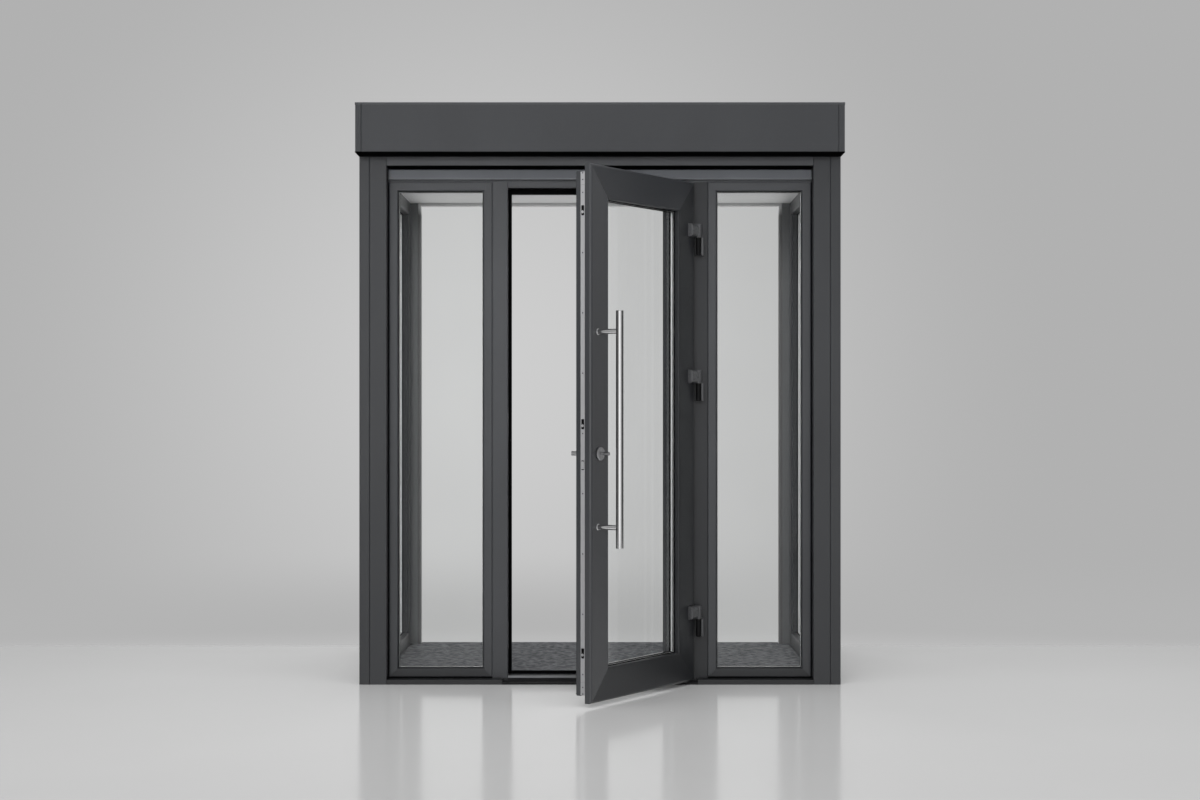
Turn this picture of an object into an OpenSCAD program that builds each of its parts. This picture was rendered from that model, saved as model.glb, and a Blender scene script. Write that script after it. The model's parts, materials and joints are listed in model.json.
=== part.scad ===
// Glazed PVC entrance vestibule: a free-standing porch cabin with one outward-opening leaf,
// two fixed sidelites, glazed side walls, an open back and a flat roof behind a deep fascia.
// Millimetres. X runs to the right, Y from the street to the building, Z up.
// The origin is the centre of the floor's underside.

/* [Cabin] */
// Width over the corner posts
cabin_w = 2024; // [1900:1:2400]
// Depth from the face of the casing to the back of the rear posts
cabin_d = 1400; // [1100:1:1800]

/* [Posts and casing] */
// Width of the corner posts, seen from the front
corner_post_w = 43; // [36:1:60]
// Width of the casing stiles beside them
casing_w = 72; // [60:1:90]
// Height of the casing head
casing_head_h = 44; // [36:1:60]
// How far the window frames lie behind the casing's face
recess = 64; // [56:1:90]
// Depth of the window frame profile
frame_t = 70; // [68:1:84]
// Height of the base rails under the front wall
base_h = 20; // [16:1:30]
// Width of the rear posts
rear_post_w = 127; // [115:1:150]
// Depth of the rear posts
rear_post_d = 60; // [50:1:80]
// Trim strip round the inside of the open back
rear_trim = 12; // [8:1:16]
// Radius of the outer edges of the profiles
edge_r = 3; // [1:0.5:4]

/* [Front frame] */
// Clear height of the door frame above the ground
door_clear_h = 2096; // [1950:1:2250]
// Clear width between the mullions
door_clear_w = 780; // [700:1:860]
// Height of the door frame's head
door_head_h = 24; // [20:1:40]
// Face width of a mullion
mullion_w = 67; // [60:1:80]
// Face width of the sidelite frames
light_face = 38; // [34:1:48]
// Joint between the casing, the base rails and the window frames
frame_joint = 4; // [2:0.5:6]
// Width of the door stop on the mullions
stop_w = 14; // [12:1:20]
// Height of the door stop on the head
stop_head = 24; // [16:1:30]
// Thickness of the rubber door seal
seal_t = 4; // [3:0.5:6]
// Distance of the weather rail above the sidelites
weather_rail_up = 7; // [5:1:12]
// Height of the sloping weather rail
weather_rail_h = 43; // [36:1:60]
// How far the weather rail stands out of the frame
weather_rail_out = 22; // [14:1:30]
// Dark joint between the weather rail and the casing head
weather_rail_gap = 10; // [6:1:16]

/* [Side walls] */
// Thickness of the side walls
side_t = 88; // [80:1:100]
// Face width of the side wall frames
side_face = 76; // [60:1:100]
// Height of the beam over each side wall
side_beam_h = 50; // [40:1:70]

/* [Glazing] */
// Thickness of one pane
pane_t = 4; // [4:1:6]
// Gap between the two panes
pane_gap = 16; // [12:1:18]
// Width of the spacer bar between the panes
spacer_w = 11; // [8:1:14]
// How far the spacer bar shows beside the frame
spacer_show = 4; // [3:0.5:6]
// Depth of the glazing rebate
rebate = 18; // [16:1:20]
// Clearance between the edge of the glass and the rebate
glass_gap = 4; // [2:1:6]
// Thickness of the glazing gaskets
gasket_t = 3; // [2:0.5:4]
// How far the gaskets show beside the frame
gasket_show = 3; // [2:0.5:4]
// Outer leg of the sidelite frame section
light_leg = 18; // [14:1:20]
// Outer leg of the side wall frame section
side_leg = 30; // [24:1:34]
// Radius of the frames' edges beside the glass
reveal_r = 7; // [3:0.5:10]

/* [Door leaf] */
// Opening angle at rest
door_open_angle = 57.8; // [0:0.1:90]
// Thickness of the leaf
leaf_t = 84; // [78:1:90]
// Face width of the leaf profile
leaf_face = 130; // [110:1:140]
// Thickness of the overlapping lip
lip_t = 30; // [26:1:32]
// How far the lip laps over the frame
lip_lap = 16; // [14:1:20]
// Radius of the lip's outer edge
lip_r = 10; // [3:1:14]
// Clearance between the leaf and the rebate of the frame
rebate_gap = 9; // [8:0.5:12]
// Clearance between the lip and the face of the frame, and between the leaf and its seal
face_gap = 6; // [5:0.5:8]
// Outer leg of the leaf section
leaf_leg = 20; // [16:1:22]

/* [Threshold and floor] */
// Height of the threshold above its base profile
threshold_t = 12; // [8:1:16]
// Height of the low sill in front of the threshold, under the leaf's lip
sill_h = 8; // [4:1:10]
// Height of the threshold's upstand behind the leaf
threshold_upstand = 12; // [10:1:20]
// Number of grip grooves in the threshold
grip_grooves = 4; // [2:1:5]
// Width of a grip groove
groove_w = 3; // [2:0.5:4]
// Thickness of the floor tray
floor_t = 8; // [6:1:12]
// Thickness of the entrance mat
mat_t = 8; // [6:1:12]
// Joint round the mat
mat_gap = 3; // [1:1:6]

/* [Roof] */
// How far the roof stands out in front of the casing
roof_overhang = 120; // [60:1:200]
// Thickness of the fascia boards
fascia_t = 25; // [16:1:30]
// How far the side fascias stand out past the corner posts
fascia_lap = 3; // [1:1:10]
// Height of the roof joists
joist_h = 120; // [90:1:150]
// Width of the roof joists
joist_w = 60; // [45:1:80]
// Number of roof joists
joist_n = 3; // [3:1:5]
// Thickness of the roof panel at its low rear edge
roof_panel_t = 36; // [30:1:50]
// Fall of the roof panel from front to rear
roof_fall = 20; // [10:1:30]
// How far the fascias rise above the roof panel's high edge
roof_upstand = 28; // [20:1:50]
// Thickness of the metal trim on the fascias' top edge
trim_t = 2; // [1:0.5:3]
// Height of the trim's lips
trim_lip = 8; // [6:1:15]
// Height of the ceiling above the sidelites
ceiling_up = 40; // [25:1:60]
// Thickness of the ceiling panel
ceiling_t = 10; // [8:1:16]
// Thickness of the soffit board under the overhang
soffit_t = 10; // [8:1:16]

/* [Hinges] */
// Height of the top of the lowest hinge above the ground
hinge_low = 331; // [250:1:450]
// Distance from the leaf's top down to the top of the highest hinge
hinge_top_down = 175; // [120:1:260]
// Distance between the tops of the two upper hinges
hinge_mid_down = 614; // [400:1:800]
// Distance of the hinge pins outside the clear opening
hinge_offset = 24; // [22:1:28]
// Radius of the leaf knuckles
knuckle_r = 13; // [12:0.5:14]
// Clearance between a knuckle and the leaf
knuckle_gap = 1; // [0.5:0.5:2]
// How much thinner the frame barrels are than the knuckles, in radius
barrel_step = 1; // [1:0.5:3]
// Height of a leaf knuckle
knuckle_h = 55; // [45:1:60]
// Height of a frame barrel
barrel_h = 74; // [60:1:80]
// Radius of the hinge pins
pin_r = 5; // [4:0.5:6]
// Length of the hinge's body on the leaf
flag_w = 62; // [50:1:70]
// Thickness of the hinge's body on the leaf
flag_t = 22; // [18:1:24]
// Radius of the hinge body's upper and lower edge
flag_r = 15; // [8:1:17]
// Radius of the hinge body's free end
flag_end_r = 8; // [4:1:12]
// Thickness of the arm that carries a frame barrel
arm_w = 12; // [8:1:14]

/* [Pull handle] */
// Length of the pull bar
bar_len = 920; // [600:10:1200]
// Radius of the pull bar
bar_r = 15; // [12:0.5:17]
// Height of the middle of the pull bar
bar_z = 1080; // [1000:10:1150]
// Distance between the two standoffs
bar_fix = 760; // [450:10:900]
// Distance of the pull bar's middle from the leaf
bar_out = 100; // [80:1:120]
// Distance of the pull bar from the edge of the leaf
bar_inset = 50; // [46:1:66]
// Length of the caps on the bar's ends
bar_cap = 14; // [8:1:20]
// Radius of the standoffs
standoff_r = 10; // [8:0.5:12]
// Radius of the collars at the standoffs' feet
collar_r = 13; // [12:0.5:20]
// Thickness of the collars
collar_t = 3; // [2:0.5:6]

/* [Lock] */
// Height of the lock above the ground
lock_z = 985; // [940:1:1040]
// Distance of the lock from the edge of the leaf
lock_inset = 63; // [60:1:80]
// Radius of the lock roses
rose_r = 27; // [22:1:28]
// Thickness of the lock roses
rose_t = 8; // [6:1:10]
// Length of the outer knob in front of its rose
knob_len = 36; // [25:1:50]
// Radius of the outer knob
knob_r = 7; // [6.5:0.5:9]
// Length of the inner turn in front of its rose
turn_len = 37; // [28:1:60]
// Radius of the inner turn's wings
turn_r = 9; // [8:0.5:12]
// Thickness of the inner turn's wings
turn_t = 8; // [6:0.5:10]
// Radius of the lock spindle
spindle_r = 5; // [4:0.5:6]
// Running clearance of pins and spindles
running_gap = 0.08; // [0.05:0.01:0.1]
// Width of the lock faceplate
faceplate_w = 20; // [16:1:24]
// Distance of the lock faceplate from the inner face of the leaf
faceplate_back = 20; // [15:1:24]
// Thickness of the lock faceplate and the strike plates
faceplate_t = 3; // [2:0.5:4]
// Length of the faceplate's end pieces
faceplate_end = 50; // [30:1:80]
// Height of the middle of the lowest strike plate
strike_low = 207; // [150:1:300]
// Height of the middle strike plate above the lock
strike_lock_up = 115; // [80:1:150]
// Distance from the door head down to the highest strike plate
strike_top_down = 163; // [100:1:250]
// Length of a strike plate
strike_len = 120; // [80:1:160]

/* [Hidden] */
$fn = 48;
over = 1;
mitre_over = 5;
reach = 400;
half_w = cabin_w / 2;
casing_out = half_w - corner_post_w;
casing_in = casing_out - casing_w;
side_in = half_w - side_t;
frame_back = recess + frame_t;
rear_y = cabin_d - rear_post_d;
rear_in = half_w - rear_post_w;
portal_in = rear_in - rear_trim;
door_half = door_clear_w / 2;
stop_in = door_half - stop_w;
mullion_out = door_half + mullion_w;
light_top = door_clear_h + door_head_h;
light_z = base_h + frame_joint;
light_w = casing_in - frame_joint - mullion_out;
light_h = light_top - light_z;
weather_rail_z = light_top + weather_rail_up;
casing_head_z = weather_rail_z + weather_rail_h + weather_rail_gap;
wall_h = casing_head_z + casing_head_h;
glass_t = 2 * pane_t + pane_gap;
glazing_t = glass_t + 2 * gasket_t;
side_w = rear_y - frame_back;
side_h = wall_h - side_beam_h;
threshold_top = base_h + threshold_t;
upstand_top = threshold_top + threshold_upstand;
leaf_face_y = recess - face_gap - lip_t;
seal_y = leaf_face_y + leaf_t + face_gap;
stop_y = seal_y + seal_t;
stop_top = door_clear_h - stop_head;
leaf_lip = lip_lap + rebate_gap;
leaf_half = door_half + lip_lap;
sill_half = leaf_half + face_gap;
leaf_z0 = threshold_top - lip_lap;
leaf_z1 = door_clear_h + lip_lap;
leaf_h = leaf_z1 - leaf_z0;
leaf_w = 2 * leaf_half;
groove_y = leaf_t - faceplate_back - faceplate_w;
ceiling_z = light_top + ceiling_up;
roof_half = half_w + fascia_lap - fascia_t;
roof_front = fascia_t - roof_overhang;
roof_rear = cabin_d - fascia_t;
fascia_h = joist_h + roof_panel_t + roof_fall + roof_upstand;
roof_top = wall_h + fascia_h;
hinge_x = door_half + hinge_offset;
hinge_out = knuckle_r + knuckle_gap;
hinge_y = leaf_face_y - hinge_out;
leaf_x0 = -hinge_x - leaf_half;
hinge_tops = [hinge_low, leaf_z1 - hinge_top_down - hinge_mid_down, leaf_z1 - hinge_top_down];
barrel_r = knuckle_r - barrel_step;
arm_x = barrel_r - 2;
hinge_gap = 1;
hinge_chamfer = 2;
pin_up = knuckle_h - 12;
strike_mids = [strike_low, lock_z + strike_lock_up, door_clear_h - strike_top_down];
turn_gap = 0.3;
anthracite = [0.28, 0.29, 0.31];
light_grey = [0.74, 0.74, 0.74];
black = [0.05, 0.05, 0.05];
steel = [0.75, 0.76, 0.77];
pale_glass = [0.8, 0.86, 0.86, 0.35];

// ---- placing ----

// Moves what is drawn from the casing's front face to the cabin's own frame
module from_front() {
    translate([0, -cabin_d / 2, 0]) children();
}

// The leaf's frame: its Z axis is the line of the hinge pins
module on_leaf() {
    from_front() translate([hinge_x, hinge_y, 0]) rotate([0, 0, door_open_angle]) children();
}

// The right-hand side wall's frame: X to the rear, Y inwards from the outer face
module on_side_wall() {
    from_front() translate([half_w, frame_back, 0]) rotate([0, 0, 90]) children();
}

module left_side() {
    mirror([1, 0, 0]) children();
}

// What is drawn on the right, and its mirror image on the left
module both_sides() {
    children();
    left_side() children();
}

// A box between two corners
module block(low, high) {
    translate(low) cube(high - low);
}

// ---- sections ----

// Takes the sharp corner off a section
module round_off(corner, turn, r = edge_r) {
    translate(corner) rotate(turn) difference() {
        translate([-over, -over]) square(r + over);
        translate([r, r]) circle(r);
    }
}

// Section of a fixed frame: a face, a glazing rebate and a square back
module fixed_section(face, depth, leg) {
    difference() {
        square([face, depth]);
        translate([face - rebate, leg]) square([rebate + over, depth]);
        round_off([0, 0], 0);
        round_off([face, 0], 90, reveal_r);
    }
}

// Section of a glazing bead that closes the rebate
module bead_section(face, depth, leg) {
    start = leg + glazing_t;
    difference() {
        translate([face - rebate, start]) square([rebate, depth - start]);
        round_off([face, depth], 180, min(reveal_r, depth - start - 2));
    }
}

// Section of the door leaf: overlapping lip, hardware groove and glazing rebate
module leaf_section() {
    difference() {
        square([leaf_face, leaf_t]);
        translate([-over, lip_t]) square([leaf_lip + over, leaf_t]);
        translate([leaf_face - rebate, leaf_leg]) square([rebate + over, leaf_t]);
        translate([leaf_lip - over, groove_y]) square([faceplate_t + over, faceplate_w]);
        round_off([0, 0], 0, lip_r);
        round_off([0, lip_t], 270);
        round_off([leaf_face, 0], 90, reveal_r);
        round_off([leaf_lip, leaf_t], 270);
    }
}

// One member of a mitred frame of w by h, its section given as the child
module mitred_member(side, w, h, face) {
    e = mitre_over;
    x = [-e, face + e, w - face - e, w + e];
    z = [-e, face + e, h - face - e, h + e];
    keep = side == "left" ? [[x[0], z[0]], [x[1], z[1]], [x[1], z[2]], [x[0], z[3]]]
        : side == "right" ? [[x[3], z[0]], [x[2], z[1]], [x[2], z[2]], [x[3], z[3]]]
        : side == "bottom" ? [[x[0], z[0]], [x[3], z[0]], [x[2], z[1]], [x[1], z[1]]]
        : [[x[0], z[3]], [x[3], z[3]], [x[2], z[2]], [x[1], z[2]]];
    intersection() {
        if (side == "left") linear_extrude(h) children();
        else if (side == "right") translate([w, 0, 0]) mirror([1, 0, 0]) linear_extrude(h) children();
        else if (side == "bottom") translate([w, 0, 0]) rotate([0, -90, 0]) linear_extrude(w) children();
        else translate([w, 0, h]) mirror([0, 0, 1]) rotate([0, -90, 0]) linear_extrude(w) children();
        rotate([90, 0, 0]) translate([0, 0, -reach / 2]) linear_extrude(reach) polygon(keep);
    }
}

// A flat ring in a frame of w by h; outer and inner are its edges' distances from the frame's edge
module flat_ring(w, h, outer, inner, y0, y1) {
    difference() {
        block([outer, y0, outer], [w - outer, y1, h - outer]);
        block([inner, y0 - over, inner], [w - inner, y1 + over, h - inner]);
    }
}

// Both panes of a double-glazed unit in a frame of w by h
module panes(w, h, face, leg) {
    edge = face - rebate + glass_gap;
    for (y = [leg + gasket_t, leg + gasket_t + pane_t + pane_gap])
        block([edge, y, edge], [w - edge, y + pane_t, h - edge]);
}

module spacer(w, h, face, leg) {
    inner = face + spacer_show;
    flat_ring(w, h, inner - spacer_w, inner, leg + gasket_t + pane_t, leg + gasket_t + pane_t + pane_gap);
}

// The rubber on both sides of a double-glazed unit
module gaskets(w, h, face, leg) {
    for (y = [leg, leg + gasket_t + glass_t])
        flat_ring(w, h, face - rebate + glass_gap, face + gasket_show, y, y + gasket_t);
}

module beads(w, h, face, depth, leg) {
    for (side = ["left", "right", "bottom", "top"])
        mitred_member(side, w, h, face) bead_section(face, depth, leg);
}

// A round bar with both ends bevelled
module bevelled_bar(r, h, bevel) {
    rotate_extrude() polygon([[0, 0], [r - bevel, 0], [r, bevel], [r, h - bevel], [r - bevel, h], [0, h]]);
}

// ---- front wall ----

module corner_posts() {
    color(anthracite) both_sides() from_front() linear_extrude(wall_h) difference() {
        translate([casing_out, 0]) square([corner_post_w, frame_back]);
        round_off([half_w, 0], 90);
        round_off([casing_out, 0], 0);
    }
}

module casing_stiles() {
    color(anthracite) both_sides() from_front() linear_extrude(wall_h) difference() {
        translate([casing_in, 0]) square([casing_w, frame_back]);
        round_off([casing_in, 0], 0);
        round_off([casing_out, 0], 90);
    }
}

module casing_head() {
    color(anthracite) from_front() translate([-casing_in, 0, 0]) rotate([90, 0, 90])
        linear_extrude(2 * casing_in) difference() {
            translate([0, casing_head_z]) square([recess, casing_head_h]);
            round_off([0, casing_head_z], 0);
        }
}

// The base rails run under the sidelites and mullions; in front of the frame they stop at the sill
module base_rails() {
    color(anthracite) both_sides() from_front() linear_extrude(base_h) polygon([
        [sill_half, 0],
        [casing_in, 0],
        [casing_in, frame_back],
        [door_half, frame_back],
        [door_half, recess],
        [sill_half, recess]
    ]);
}

module frame_head() {
    color(anthracite) from_front()
        block([-casing_in, recess, light_top], [casing_in, frame_back, wall_h]);
}

// Head of the door frame, with its stop
module door_head() {
    color(anthracite) from_front() {
        block([-door_half, recess, door_clear_h], [door_half, frame_back, light_top]);
        block([-door_half, stop_y, stop_top], [door_half, frame_back, door_clear_h]);
    }
}

// Sloping rail that throws rain off above the leaf
module weather_rail() {
    nose = 4;
    front = recess - weather_rail_out;
    color(anthracite) from_front() translate([-casing_in + frame_joint, 0, weather_rail_z])
        rotate([90, 0, 90]) linear_extrude(2 * (casing_in - frame_joint)) polygon([
            [recess, 0],
            [front + nose, 0],
            [front, nose],
            [front, 2 * nose],
            [recess - 0.75 * weather_rail_out, weather_rail_h],
            [recess, weather_rail_h]
        ]);
}

// A mullion stands on a base rail; its stop runs from the threshold's upstand to the head's stop
module mullion() {
    from_front() {
        translate([0, 0, base_h]) linear_extrude(light_top - base_h) difference() {
            translate([door_half, recess]) square([mullion_w, frame_t]);
            round_off([door_half, recess], 0);
            round_off([mullion_out, recess], 90);
        }
        block([stop_in, stop_y, upstand_top], [door_half + over, frame_back, stop_top]);
    }
}

module mullion_right() {
    color(anthracite) mullion();
}

// The lock side mullion is let in for its strike plates
module mullion_left() {
    color(anthracite) difference() {
        left_side() mullion();
        strike_pockets();
    }
}

module strike_pockets() {
    strike_y = leaf_face_y + groove_y;
    from_front() for (z = strike_mids)
        block([-door_half - faceplate_t, strike_y, z - strike_len / 2],
            [-door_half, strike_y + faceplate_w, z + strike_len / 2]);
}

// Strike plates with a slot for the bolts
module strike_plates() {
    slot_w = faceplate_w / 2;
    slot_y = leaf_face_y + groove_y + slot_w / 2;
    color(steel) difference() {
        strike_pockets();
        from_front() for (z = strike_mids)
            block([-door_half - faceplate_t - over, slot_y, z - strike_len / 4],
                [-door_half + over, slot_y + slot_w, z + strike_len / 4]);
    }
}

// Dark profile across the doorway: a low sill, the bed of the threshold, and an upstand behind the leaf
module threshold_base() {
    nose = 3;
    color(black) from_front() {
        translate([-door_half, 0, 0]) rotate([90, 0, 90]) linear_extrude(door_clear_w) polygon([
            [0, 0],
            [0, sill_h],
            [recess, sill_h],
            [recess, base_h],
            [stop_y, base_h],
            [stop_y, upstand_top],
            [frame_back - nose, upstand_top],
            [frame_back, upstand_top - nose],
            [frame_back, 0]
        ]);
        both_sides() block([door_half - over, 0, 0], [sill_half, recess, sill_h]);
    }
}

// Aluminium threshold: a grooved step under the leaf, between the door frame's mullions
module threshold() {
    nose = 3;
    groove_d = 1;
    groove_pitch = (stop_y - recess) / (grip_grooves + 1);
    color(steel) from_front() translate([-door_half, 0, 0])
        rotate([90, 0, 90]) linear_extrude(door_clear_w) difference() {
            polygon([
                [recess, base_h],
                [recess, threshold_top - nose],
                [recess + nose, threshold_top],
                [stop_y, threshold_top],
                [stop_y, base_h]
            ]);
            for (i = [1 : grip_grooves])
                translate([recess + i * groove_pitch - groove_w / 2, threshold_top - groove_d])
                    square([groove_w, groove_d + over]);
        }
}

module door_seal() {
    color(black) from_front() difference() {
        block([-door_half, seal_y, threshold_top], [door_half, stop_y, door_clear_h]);
        block([-stop_in, seal_y - over, upstand_top], [stop_in, stop_y + over, stop_top]);
    }
}

// Black seal in the joints between the casing, the base rails and the window frames
module frame_gasket() {
    set_back = 6;
    color(black) {
        both_sides() from_front() {
            block([casing_in - frame_joint, recess + set_back, light_z], [casing_in, frame_back, light_top]);
            block([mullion_out, recess + set_back, base_h], [casing_in, frame_back, light_z]);
        }
        from_front() block([-casing_in, recess - frame_joint, weather_rail_z + weather_rail_h],
            [casing_in, recess, casing_head_z]);
    }
}

// ---- sidelites ----

module on_sidelite() {
    from_front() translate([mullion_out, recess, light_z]) children();
}

module sidelite_member(side) {
    on_sidelite() mitred_member(side, light_w, light_h, light_face)
        fixed_section(light_face, frame_t, light_leg);
}

module sidelite_stiles() {
    color(anthracite) both_sides() for (side = ["left", "right"]) sidelite_member(side);
}

module sidelite_rails() {
    color(anthracite) both_sides() for (side = ["bottom", "top"]) sidelite_member(side);
}

module sidelite_glass() {
    color(pale_glass) both_sides() on_sidelite() panes(light_w, light_h, light_face, light_leg);
}

// ---- side walls ----

module side_wall_member(side) {
    on_side_wall() mitred_member(side, side_w, side_h, side_face)
        fixed_section(side_face, side_t, side_leg);
}

module side_wall_stiles() {
    color(anthracite) both_sides() for (side = ["left", "right"]) side_wall_member(side);
}

module side_wall_rails() {
    color(anthracite) both_sides() for (side = ["bottom", "top"]) side_wall_member(side);
}

module side_wall_glass() {
    color(pale_glass) both_sides() on_side_wall() panes(side_w, side_h, side_face, side_leg);
}

module side_beams() {
    color(anthracite) both_sides() from_front()
        block([side_in, frame_back, side_h], [half_w, rear_y, wall_h]);
}

// ---- what holds the fixed glass ----

module glazing_beads() {
    color(anthracite) both_sides() {
        on_sidelite() beads(light_w, light_h, light_face, frame_t, light_leg);
        on_side_wall() beads(side_w, side_h, side_face, side_t, side_leg);
    }
}

module glazing_gaskets() {
    color(black) both_sides() {
        on_sidelite() gaskets(light_w, light_h, light_face, light_leg);
        on_side_wall() gaskets(side_w, side_h, side_face, side_leg);
    }
}

module glass_spacers() {
    color(steel) both_sides() {
        on_sidelite() spacer(light_w, light_h, light_face, light_leg);
        on_side_wall() spacer(side_w, side_h, side_face, side_leg);
    }
}

// ---- rear portal and floor ----

module rear_posts() {
    color(anthracite) both_sides() from_front() linear_extrude(wall_h) difference() {
        translate([rear_in, rear_y]) square([rear_post_w, rear_post_d]);
        round_off([rear_in, rear_y], 0);
    }
}

module rear_head() {
    color(anthracite) from_front()
        block([-rear_in, rear_y, ceiling_z], [rear_in, cabin_d, wall_h]);
}

module rear_trim_strip() {
    color(light_grey) from_front() difference() {
        block([-rear_in, rear_y + edge_r, floor_t], [rear_in, cabin_d, ceiling_z]);
        block([-portal_in, rear_y - over, floor_t - over],
            [portal_in, cabin_d + over, ceiling_z - rear_trim]);
    }
}

module floor_tray() {
    color("gray") from_front() {
        block([-side_in, frame_back, 0], [side_in, rear_y, floor_t]);
        block([-rear_in, rear_y, 0], [rear_in, cabin_d, floor_t]);
    }
}

module entrance_mat() {
    mat_in = side_in - mat_gap;
    mat_rear = portal_in - mat_gap;
    color("dimgray") from_front() translate([0, 0, floor_t]) {
        block([-mat_in, frame_back + mat_gap, 0], [mat_in, rear_y - mat_gap, mat_t]);
        block([-mat_rear, rear_y - mat_gap, 0], [mat_rear, cabin_d, mat_t]);
    }
}

// ---- ceiling and roof ----

module ceiling_panel() {
    color(light_grey) from_front()
        block([-side_in, frame_back, ceiling_z], [side_in, rear_y, ceiling_z + ceiling_t]);
}

module roof_joists() {
    first = frame_back;
    last = rear_y - joist_w;
    color("tan") from_front() for (i = [0 : joist_n - 1]) {
        y = first + (last - first) * i / (joist_n - 1);
        block([-roof_half, y, wall_h], [roof_half, y + joist_w, wall_h + joist_h]);
    }
}

// Insulated roof panel, cut to a fall towards the rear
module roof_panel() {
    color("gray") from_front() translate([-roof_half, 0, wall_h + joist_h])
        rotate([90, 0, 90]) linear_extrude(2 * roof_half) polygon([
            [roof_front, 0],
            [roof_rear, 0],
            [roof_rear, roof_panel_t],
            [roof_front, roof_panel_t + roof_fall]
        ]);
}

module fascia_front() {
    color(anthracite) from_front() translate([0, 0, wall_h]) linear_extrude(fascia_h) difference() {
        translate([-roof_half, -roof_overhang]) square([2 * roof_half, fascia_t]);
        round_off([-roof_half, -roof_overhang], 0);
        round_off([roof_half, -roof_overhang], 90);
    }
}

module fascia_rear() {
    color(anthracite) from_front()
        block([-roof_half, roof_rear, wall_h], [roof_half, cabin_d, roof_top]);
}

module fascia_sides() {
    color(anthracite) both_sides() from_front() translate([0, 0, wall_h]) linear_extrude(fascia_h)
        difference() {
            translate([roof_half, -roof_overhang]) square([fascia_t, cabin_d + roof_overhang]);
            round_off([roof_half, -roof_overhang], 0);
            round_off([roof_half + fascia_t, -roof_overhang], 90);
        }
}

// Metal trim that caps the fascias, with a lip outside and a lip inside; it ends flush at the building
module roof_edge_trim() {
    lip = trim_t / 2;
    x_out = roof_half + fascia_t;
    z_low = roof_top - trim_lip;
    color(anthracite) from_front() difference() {
        block([-x_out - lip, -roof_overhang - lip, z_low], [x_out + lip, cabin_d, roof_top + trim_t]);
        block([-roof_half + trim_t, roof_front + trim_t, z_low - over],
            [roof_half - trim_t, roof_rear - trim_t, roof_top + trim_t + over]);
        difference() {
            block([-x_out, -roof_overhang, z_low - over], [x_out, cabin_d + over, roof_top]);
            block([-roof_half, roof_front, z_low - 2 * over], [roof_half, roof_rear, roof_top + over]);
        }
    }
}

module soffit() {
    color(black) from_front()
        block([-roof_half, roof_front, wall_h], [roof_half, recess, wall_h + soffit_t]);
}

// ---- door leaf ----

module on_leaf_frame() {
    on_leaf() translate([leaf_x0, hinge_out, leaf_z0]) children();
}

module leaf_member(side) {
    on_leaf_frame() mitred_member(side, leaf_w, leaf_h, leaf_face) leaf_section();
}

module door_stile_lock() {
    color(anthracite) difference() {
        leaf_member("left");
        on_lock_axis() translate([0, 0, -leaf_t - over])
            cylinder(h = leaf_t + 2 * over, r = spindle_r + running_gap);
    }
}

module door_stile_hinge() {
    color(anthracite) leaf_member("right");
}

module door_rails() {
    color(anthracite) for (side = ["bottom", "top"]) leaf_member(side);
}

module door_glass() {
    color(pale_glass) on_leaf_frame() panes(leaf_w, leaf_h, leaf_face, leaf_leg);
}

module door_spacer() {
    color(steel) on_leaf_frame() spacer(leaf_w, leaf_h, leaf_face, leaf_leg);
}

module door_gaskets() {
    color(black) on_leaf_frame() gaskets(leaf_w, leaf_h, leaf_face, leaf_leg);
}

module door_beads() {
    color(anthracite) on_leaf_frame() beads(leaf_w, leaf_h, leaf_face, leaf_t, leaf_leg);
}

// Steel faceplate of the multi-point lock, in the groove of the lock stile, with an end piece at each end
module lock_faceplate() {
    joint = 1;
    low = leaf_lip + faceplate_t;
    high = leaf_h - low;
    color(steel) on_leaf_frame() for (z = [
        [low, low + faceplate_end],
        [low + faceplate_end + joint, high - faceplate_end - joint],
        [high - faceplate_end, high]
    ])
        block([leaf_lip, groove_y, z[0]], [leaf_lip + faceplate_t, groove_y + faceplate_w, z[1]]);
}

// ---- hinges ----

// Frame parts: a bevelled barrel with its pin, on an arm that reaches back to the mullion
module hinge_frame_parts() {
    color(anthracite) from_front() translate([hinge_x, hinge_y, 0]) for (top = hinge_tops)
        translate([0, 0, top - knuckle_h - hinge_gap - barrel_h]) {
            bevelled_bar(barrel_r, barrel_h, hinge_chamfer);
            cylinder(h = barrel_h + hinge_gap + pin_up, r = pin_r);
            linear_extrude(barrel_h) difference() {
                translate([arm_x, 0]) square([arm_w, recess - hinge_y]);
                round_off([arm_x + arm_w, 0], 90);
            }
        }
}

// The hinge's body on the leaf: rounded above and below, and at its free end
module hinge_body() {
    front = hinge_out - flag_t;
    difference() {
        intersection() {
            translate([-flag_w, 0, 0]) rotate([90, 0, 90]) linear_extrude(flag_w) difference() {
                translate([front, 0]) square([flag_t, knuckle_h]);
                round_off([front, 0], 0, flag_r);
                round_off([front, knuckle_h], 270, flag_r);
            }
            translate([0, 0, -over]) linear_extrude(knuckle_h + 2 * over) difference() {
                translate([-flag_w, front - over]) square([flag_w + over, flag_t + 2 * over]);
                round_off([-flag_w, front], 0, flag_end_r);
            }
        }
        translate([0, 0, -over]) cylinder(h = knuckle_h + 2 * over, r = knuckle_r - over);
    }
}

// Leaf parts: a bevelled knuckle with a blind bore for the pin, and a body on the leaf
module hinge_leaf_parts() {
    bore_r = pin_r + running_gap;
    bore_h = pin_up + 1;
    c = hinge_chamfer;
    color(anthracite) on_leaf() for (top = hinge_tops) translate([0, 0, top - knuckle_h]) {
        rotate_extrude() polygon([
            [bore_r, 0], [knuckle_r - c, 0], [knuckle_r, c], [knuckle_r, knuckle_h - c],
            [knuckle_r - c, knuckle_h], [0, knuckle_h], [0, bore_h], [bore_r, bore_h]
        ]);
        hinge_body();
    }
}

// ---- pull handle and lock ----

// Z runs out of the leaf's outer face
module out_of_leaf(inset, z) {
    on_leaf() translate([leaf_x0 + inset, hinge_out, z]) rotate([90, 0, 0]) children();
}

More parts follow.
